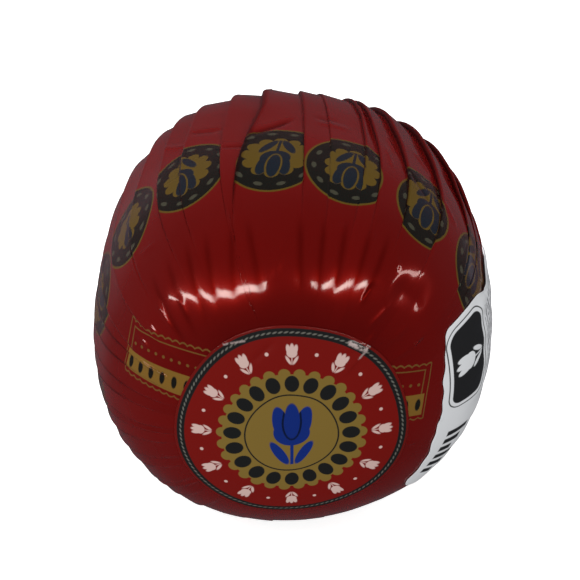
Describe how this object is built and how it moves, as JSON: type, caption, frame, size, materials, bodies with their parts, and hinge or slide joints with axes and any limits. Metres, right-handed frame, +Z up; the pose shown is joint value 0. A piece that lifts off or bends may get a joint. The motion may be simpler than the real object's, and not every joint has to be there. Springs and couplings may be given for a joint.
{
  "type": "film-wrapped edam cheese ball",
  "caption": "Whole round cheese lying on its side, wrapped in pleated glossy red film gathered at the back, with a round front label and a white label on the right.",
  "frame": {"origin": "centre of the bounding box at the height of the flat spot that the ball rests on", "axes": "+Z up as the ball lies, -Y towards the round front label, +Y towards the gathered back, +X towards the white label"},
  "size_m": [0.1413, 0.1388, 0.1406],
  "materials": {
    "film": "glossy red packing film over the cheese, printed in gold, black and navy",
    "round_label": "varnished paper, red with a black ring and a gold middle",
    "white_label": "satin white paper with black marks"
  },
  "bodies": {
    "root": {"wrapped_ball": "film", "front_label": "round_label", "side_label": "white_label"}
  },
  "joints": []
}
